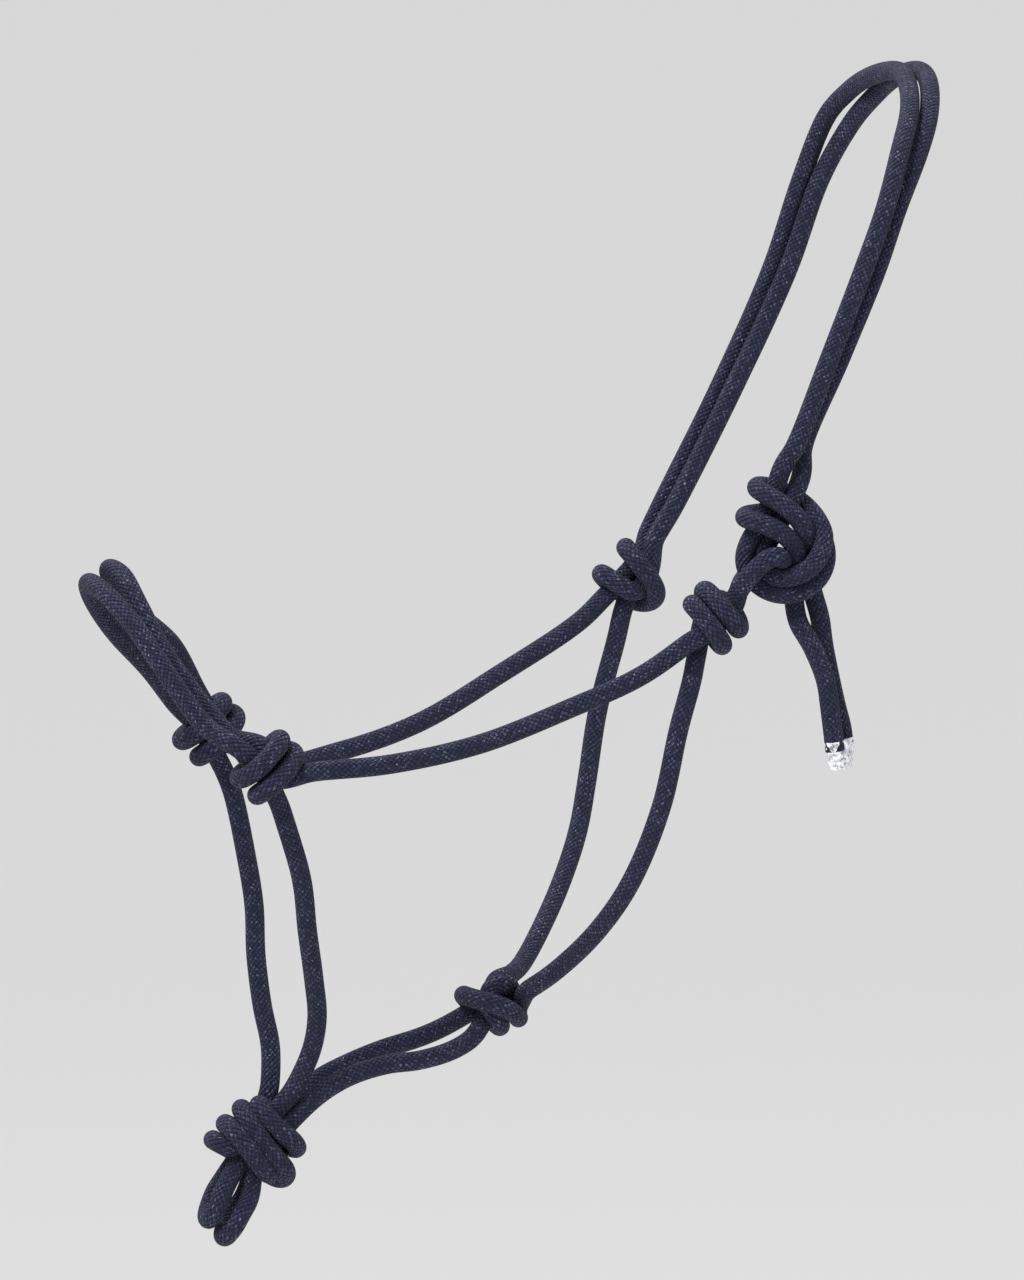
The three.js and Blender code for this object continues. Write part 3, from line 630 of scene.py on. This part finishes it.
TIP_LENGTH = 0.0125
TIP_ABOVE_END = 0.0045
TIP_FILM = 0.0006
TIP_RINGS = 26
TIP_SIDES = 56
TIP_WRINKLE = 0.00035
TIP_AIM = 8
TIP_SEED = 5
TIP_WAVES = 9
TIP_TAPER = 0.22
TIP_PINCH = 0.10
TIP_PINCH_POWER = 6
TIP_OVAL = 2.2
WAVE_FADE = 0.4


def tip_piece():
    """Crinkled film shrunk round the two rope ends: an oval sleeve with a pinched, closed foot."""
    left, right = line[0], line[-1]
    way = unit(unit(line[0] - line[TIP_AIM]) + unit(line[-1] - line[-1 - TIP_AIM]))
    wide = right - left
    half = np.linalg.norm(wide) / 2
    wide = unit(wide - way * (wide @ way))
    thick = np.cross(way, wide)
    top = (left + right) / 2 - way * TIP_ABOVE_END
    rng = np.random.default_rng(TIP_SEED)
    phases = rng.uniform(0, 2 * np.pi, (TIP_WAVES, 2))
    verts = []
    for k in range(TIP_RINGS):
        t = k / (TIP_RINGS - 1)
        shrink = 1 - TIP_TAPER * t - TIP_PINCH * t ** TIP_PINCH_POWER
        for n in range(TIP_SIDES):
            angle = 2 * np.pi * n / TIP_SIDES
            wrinkle = sum(
                math.sin((3 + 2 * m) * angle + phases[m, 0])
                * math.cos((2 + m) * 3 * t + phases[m, 1])
                / (1 + WAVE_FADE * m)
                for m in range(TIP_WAVES)
            )
            r = (ROPE_R + TIP_FILM) * shrink + TIP_WRINKLE * wrinkle
            across = half * shrink * math.tanh(TIP_OVAL * math.cos(angle)) + r * math.cos(angle)
            verts.append(top + way * TIP_LENGTH * t + wide * across + thick * r * math.sin(angle))
    verts += [top, top + way * TIP_LENGTH]
    faces = []
    for k in range(TIP_RINGS - 1):
        for n in range(TIP_SIDES):
            m = (n + 1) % TIP_SIDES
            row, up = k * TIP_SIDES, (k + 1) * TIP_SIDES
            faces.append((row + n, row + m, up + m, up + n))
    a, last = TIP_RINGS * TIP_SIDES, (TIP_RINGS - 1) * TIP_SIDES
    for n in range(TIP_SIDES):
        m = (n + 1) % TIP_SIDES
        faces += [(a, m, n), (a + 1, last + n, last + m)]
    mesh = bpy.data.meshes.new("tail_whipping")
    mesh.from_pydata([tuple(v) for v in verts], [], faces)
    mesh.shade_smooth()
    piece = bpy.data.objects.new("tail_whipping", mesh)
    bpy.context.scene.collection.objects.link(piece)
    return piece


tip = tip_piece()
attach(tip, "tail")
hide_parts("tail_tip")


# ---------------------------------------------------------------- strand paths


def declare_cord(name, backwards=False):
    """A strand's path, starting where it leaves its knot: at its last ring if backwards; nothing is made
    from it.
    """
    first, last = spans[name]
    path = line[first:last + 1]
    path = path[::-1] if backwards else path


for name in (
    "crown_strand_front", "crown_strand_rear", "nose_strand_upper", "nose_strand_lower",
    "cheek_strand_left", "cheek_strand_right", "drop_strand_left", "drop_strand_right",
    "throat_strand_left", "throat_strand_right", "jaw_strand_left", "jaw_strand_right",
):
    declare_cord(name)
declare_cord("tail_strand_right")
declare_cord("tail_strand_left", backwards=True)


# ---------------------------------------------------------------- materials

CARRIERS = 12
PLAIT_PITCH = 0.030
# Painted shade: the darker navy painted into the grooves between stitches
NAVY_GROOVE_SHADE = (0.0028, 0.003, 0.011, 1)
NAVY = (0.010, 0.0115, 0.042, 1)
NAVY_LIGHT = (0.042, 0.047, 0.130, 1)
FLECK = (0.34, 0.37, 0.54, 1)
SHEEN_TINT = (0.62, 0.66, 0.85, 1)
CREST_FALL = 3.6
END_FALL = 4.5
FIBRES_ACROSS = 7.0
FIBRES_ALONG = 1.1
OTHER_FAMILY = 9.0
PATCHES_ROUND = 2.0
PATCHES_PER_METRE = 60.0
# From and to, in the value that each ramp reads
# The groove ramp sets where the painted shade in the grooves fades out towards the crests
GROOVE_SHADE_RAMP = (0.05, 0.85)
LIT_FIBRE_RAMP = (0.42, 0.72)
LIT_STITCH_RAMP = (0.1, 1.0)
WORN_FIBRE_RAMP = (0.56, 0.68)
WORN_PATCH_RAMP = (0.30, 0.60)
WORN_STITCH_RAMP = (0.40, 0.75)
FIBRE_RELIEF = 0.35
PLAIT_RELIEF = 0.0016
FILM_DARK = (0.16, 0.17, 0.22, 1)
# Painted reflection: the silvery colour of light off the clear film's folds
FILM_REFLECTION_SILVER = (0.88, 0.89, 0.92, 1)
FILM_FOLDS = 420.0
FILM_FINE_FOLDS = 1500.0
FILM_RELIEF = 0.0012


class Graph:
    """Short ways to add a material's nodes."""

    def __init__(self, name):
        self.material = bpy.data.materials.new(name)
        self.material.use_nodes = True
        self.tree = self.material.node_tree
        self.shader = self.tree.nodes["Principled BSDF"]

    def node(self, kind, **settings):
        n = self.tree.nodes.new(kind)
        for key, value in settings.items():
            setattr(n, key, value)
        return n

    def put(self, value, socket):
        if isinstance(value, bpy.types.NodeSocket):
            self.tree.links.new(value, socket)
        else:
            socket.default_value = value

    def math(self, operation, *values):
        n = self.node("ShaderNodeMath", operation=operation)
        for value, socket in zip(values, n.inputs):
            self.put(value, socket)
        return n.outputs[0]

    def mix(self, factor, a, b):
        n = self.node("ShaderNodeMix", data_type="RGBA")
        for value, socket in zip((factor, a, b), (n.inputs[0], n.inputs[6], n.inputs[7])):
            self.put(value, socket)
        return n.outputs[2]

    def between(self, factor, a, b):
        n = self.node("ShaderNodeMix", data_type="FLOAT")
        for value, socket in zip((factor, a, b), (n.inputs[0], n.inputs[2], n.inputs[3])):
            self.put(value, socket)
        return n.outputs[0]

    def join(self, x, y, z):
        n = self.node("ShaderNodeCombineXYZ")
        for value, socket in zip((x, y, z), n.inputs):
            self.put(value, socket)
        return n.outputs[0]

    def noise(self, where, scale, detail):
        n = self.node("ShaderNodeTexNoise")
        n.inputs["Scale"].default_value = scale
        n.inputs["Detail"].default_value = detail
        self.put(where, n.inputs["Vector"])
        return n.outputs["Fac"]

    def ramp(self, value, low, high):
        n = self.node("ShaderNodeMapRange")
        self.put(value, n.inputs["Value"])
        n.inputs["From Min"].default_value = low
        n.inputs["From Max"].default_value = high
        return n.outputs[0]

    def bump(self, height, distance, strength):
        n = self.node("ShaderNodeBump")
        n.inputs["Distance"].default_value = distance
        n.inputs["Strength"].default_value = strength
        self.put(height, n.inputs["Height"])
        self.put(n.outputs[0], self.shader.inputs["Normal"])


def rope_material():
    """Matt navy plaited fibre: two families of strands cross over and under, with pale flecks, and
    painted shade darkens the grooves between stitches.
    """
    g = Graph("navy_rope")
    uv = g.node("ShaderNodeUVMap", uv_map="plait").outputs[0]
    split = g.node("ShaderNodeSeparateXYZ")
    g.put(uv, split.inputs[0])
    u, v = split.outputs[0], split.outputs[1]
    turn = g.math("MULTIPLY", v, CARRIERS / PLAIT_PITCH)
    round_ = g.math("MULTIPLY", u, CARRIERS)
    a = g.math("ADD", round_, turn)
    b = g.math("SUBTRACT", turn, round_)
    over = g.math("FLOORED_MODULO", g.math("ADD", g.math("FLOOR", a), g.math("FLOOR", b)), 2.0)
    across_a = g.math("ABSOLUTE", g.math("SUBTRACT", g.math("FRACT", a), 0.5))
    across_b = g.math("ABSOLUTE", g.math("SUBTRACT", g.math("FRACT", b), 0.5))
    side = g.between(over, across_b, across_a)
    end = g.between(over, across_a, across_b)
    crest = g.math("SUBTRACT", 1.0, g.math("MULTIPLY", g.math("POWER", side, 2.0), CREST_FALL))
    end_drop = g.math("MULTIPLY", g.math("POWER", end, 3.0), END_FALL)
    stitch = g.math("MAXIMUM", g.math("SUBTRACT", crest, end_drop), 0.0)
    cell = g.join(g.math("FLOOR", a), g.math("FLOOR", b), over)
    per_stitch = g.node("ShaderNodeTexWhiteNoise")
    g.put(cell, per_stitch.inputs["Vector"])
    across, length = g.math("MULTIPLY", a, FIBRES_ACROSS), g.math("MULTIPLY", b, FIBRES_ALONG)
    fibre_a = g.noise(g.join(across, length, 0.0), 1.0, 2.0)
    across, length = g.math("MULTIPLY", b, FIBRES_ACROSS), g.math("MULTIPLY", a, FIBRES_ALONG)
    fibre_b = g.noise(g.join(length, across, OTHER_FAMILY), 1.0, 2.0)
    fibre = g.between(over, fibre_b, fibre_a)
    patch_u, patch_v = g.math("MULTIPLY", u, PATCHES_ROUND), g.math("MULTIPLY", v, PATCHES_PER_METRE)
    patch = g.noise(g.join(patch_u, patch_v, 0.0), 1.0, 3.0)
    # Painted shade: the colour darkens from the stitch crests into the grooves, and the lighter fibres
    # and flecks are kept out of that shade
    outside_groove_shade = g.ramp(stitch, *GROOVE_SHADE_RAMP)
    tone = g.mix(outside_groove_shade, NAVY_GROOVE_SHADE, NAVY)
    stitch_value = per_stitch.outputs[0]
    lift = g.math("MULTIPLY", g.ramp(fibre, *LIT_FIBRE_RAMP), g.ramp(stitch_value, *LIT_STITCH_RAMP))
    lift = g.math("MULTIPLY", lift, outside_groove_shade)
    tone = g.mix(lift, tone, NAVY_LIGHT)
    worn = g.math("MULTIPLY", g.ramp(fibre, *WORN_FIBRE_RAMP), g.ramp(patch, *WORN_PATCH_RAMP))
    worn = g.math("MULTIPLY", worn, g.ramp(stitch_value, *WORN_STITCH_RAMP))
    tone = g.mix(g.math("MULTIPLY", worn, outside_groove_shade), tone, FLECK)
    g.put(tone, g.shader.inputs["Base Color"])
    g.put(g.between(fibre, 0.95, 0.72), g.shader.inputs["Roughness"])
    g.shader.inputs["Sheen Weight"].default_value = 0.06
    g.shader.inputs["Sheen Roughness"].default_value = 0.45
    g.shader.inputs["Sheen Tint"].default_value = SHEEN_TINT
    g.shader.inputs["Specular IOR Level"].default_value = 0.22
    height = g.math("ADD", stitch, g.math("MULTIPLY", fibre, FIBRE_RELIEF))
    g.bump(height, PLAIT_RELIEF, 1.0)
    return g.material


def film_material():
    """Clear crinkled film over the rope ends: silvery where it stands off, which is a painted reflection
    in the base colour, and darker where it clings.
    """
    g = Graph("crinkled_film")
    where = g.node("ShaderNodeTexCoord").outputs["Object"]
    folds = g.noise(where, FILM_FOLDS, 4.0)
    fine = g.noise(where, FILM_FINE_FOLDS, 3.0)
    # Painted reflection: silvery base colour where the fold noise is high, darker where the film clings
    # to the rope
    painted_reflection = g.ramp(g.math("ADD", folds, g.math("MULTIPLY", fine, 0.4)), 0.52, 0.78)
    g.put(g.mix(painted_reflection, FILM_DARK, FILM_REFLECTION_SILVER), g.shader.inputs["Base Color"])
    g.put(g.between(folds, 0.12, 0.35), g.shader.inputs["Roughness"])
    g.shader.inputs["Metallic"].default_value = 0.25
    g.shader.inputs["Coat Weight"].default_value = 0.8
    g.shader.inputs["Coat Roughness"].default_value = 0.08
    g.bump(g.math("ADD", folds, g.math("MULTIPLY", fine, 0.5)), FILM_RELIEF, 0.9)
    return g.material


rope = rope_material()
for piece in pieces.values():
    piece.data.materials.append(rope)
tip.data.materials.append(film_material())


# ---------------------------------------------------------------- studio

FLOOR_CENTRE = (-0.18, 0, -1.2)
FLOOR_RADIUS = 30
FLOOR_SIDES = 96
FLOOR_COLOUR = (0.9, 0.9, 0.9, 1)
FLOOR_ROUGHNESS = 0.9
WORLD_COLOUR = (1, 1, 1, 1)
WORLD_STRENGTH = 0.75
# Name, azimuth and elevation in degrees, distance and size in metres, power in watts
LIGHTS = [
    ("key", 310, 50, 2.2, 0.9, 62),
    ("fill", 40, 15, 3.0, 2.0, 18),
    ("back", 190, 55, 2.5, 1.0, 30),
]


def add_floor():
    bpy.ops.mesh.primitive_circle_add(
        vertices=FLOOR_SIDES, radius=FLOOR_RADIUS, fill_type="NGON", location=FLOOR_CENTRE
    )
    floor = bpy.context.object
    floor.name = "floor"
    g = Graph("pale_floor")
    g.shader.inputs["Base Color"].default_value = FLOOR_COLOUR
    g.shader.inputs["Roughness"].default_value = FLOOR_ROUGHNESS
    floor.data.materials.append(g.material)


def add_light(name, azimuth, elevation, distance, size, power):
    data = bpy.data.lights.new(name, "AREA")
    data.size = size
    data.energy = power
    light = bpy.data.objects.new(name, data)
    bpy.context.scene.collection.objects.link(light)
    away = direction_from(azimuth, elevation)
    light.location = Vector(CAMERA_TARGET) + away * distance
    light.rotation_mode = "QUATERNION"
    light.rotation_quaternion = away.to_track_quat("Z", "Y")


world = bpy.data.worlds.new("studio")
world.use_nodes = True
world.node_tree.nodes["Background"].inputs["Color"].default_value = WORLD_COLOUR
world.node_tree.nodes["Background"].inputs["Strength"].default_value = WORLD_STRENGTH
bpy.context.scene.world = world
add_floor()
for light in LIGHTS:
    add_light(*light)
bpy.context.scene.view_settings.view_transform = "Standard"
